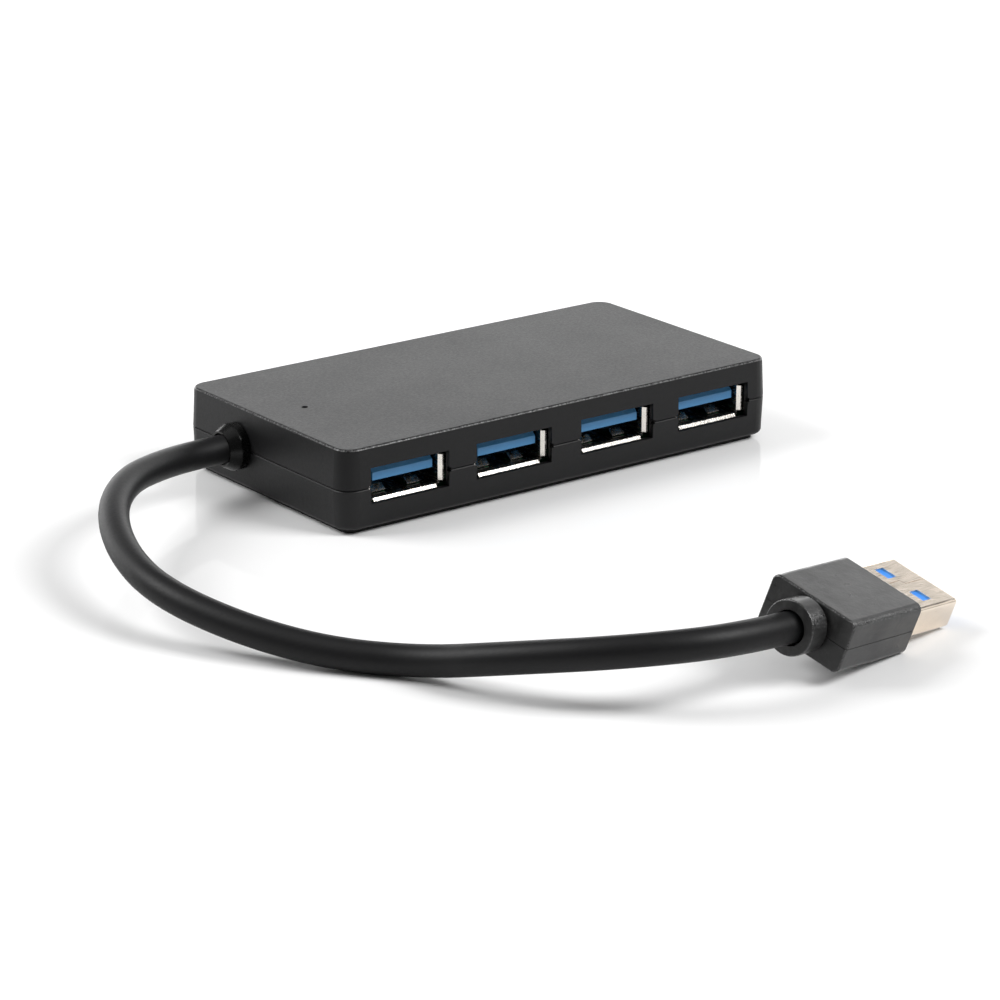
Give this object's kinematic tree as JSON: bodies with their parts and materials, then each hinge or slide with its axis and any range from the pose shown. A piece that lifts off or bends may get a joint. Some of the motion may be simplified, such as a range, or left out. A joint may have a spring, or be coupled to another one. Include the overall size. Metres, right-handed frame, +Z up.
{
  "type": "usb hub",
  "caption": "Slim rectangular USB hub with blue-tongued USB-A ports along its front edge and a short captive cable that ends in a USB-A plug.",
  "frame": {"origin": "centre of the underside of the raised base that the housing stands on", "axes": "+X along the housing's length, away from the cable's end; -Y out of the ports; +Z up"},
  "size_m": [0.1288, 0.1327, 0.0136],
  "materials": {
    "housing_plastic": "fine matt spark-eroded texture",
    "board_laminate": "green solder mask",
    "chip_plastic": "black moulding compound",
    "plated_metal": "nickel plate",
    "can_aluminium": "satin",
    "fuse_plastic": "dark green",
    "ceramic": "fired ceramic",
    "lamp_plastic": "diffusing",
    "clear_plastic": "clear moulding",
    "bush_rubber": "satin moulded",
    "cable_rubber": "matt extruded jacket",
    "power_wire_plastic": "extruded insulation",
    "data_wire_plastic": "extruded insulation",
    "grip_plastic": "satin moulded",
    "plug_steel": "warm nickel plate, finely brushed",
    "port_steel": "bright nickel plate",
    "blue_plastic": "blue moulding",
    "tongue_plastic": "teal-blue moulding",
    "contact_gold": "gold plate"
  },
  "bodies": {
    "root": {"bottom_cover": "housing_plastic", "cable": "cable_rubber", "can_capacitors": "can_aluminium", "ceramic_capacitors": "ceramic", "chip_resistors": "chip_plastic", "circuit_board": "board_laminate", "clock_crystal": "plated_metal", "data_wires": "data_wire_plastic", "hub_controller_chip": "chip_plastic", "light_guide": "clear_plastic", "plug_contacts": "contact_gold", "plug_grip": "grip_plastic", "plug_insulator": "blue_plastic", "plug_shell": "plug_steel", "plug_superspeed_contacts": "contact_gold", "port_1_contacts": "contact_gold", "port_1_shell": "port_steel", "port_1_superspeed_contacts": "contact_gold", "port_1_tongue": "tongue_plastic", "port_2_contacts": "contact_gold", "port_2_shell": "port_steel", "port_2_superspeed_contacts": "contact_gold", "port_2_tongue": "tongue_plastic", "port_3_contacts": "contact_gold", "port_3_shell": "port_steel", "port_3_superspeed_contacts": "contact_gold", "port_3_tongue": "tongue_plastic", "port_4_contacts": "contact_gold", "port_4_shell": "port_steel", "port_4_superspeed_contacts": "contact_gold", "port_4_tongue": "tongue_plastic", "port_fuses": "fuse_plastic", "power_wires": "power_wire_plastic", "status_led": "lamp_plastic", "strain_relief": "bush_rubber", "top_cover": "housing_plastic", "voltage_regulator": "chip_plastic"}
  },
  "joints": []
}
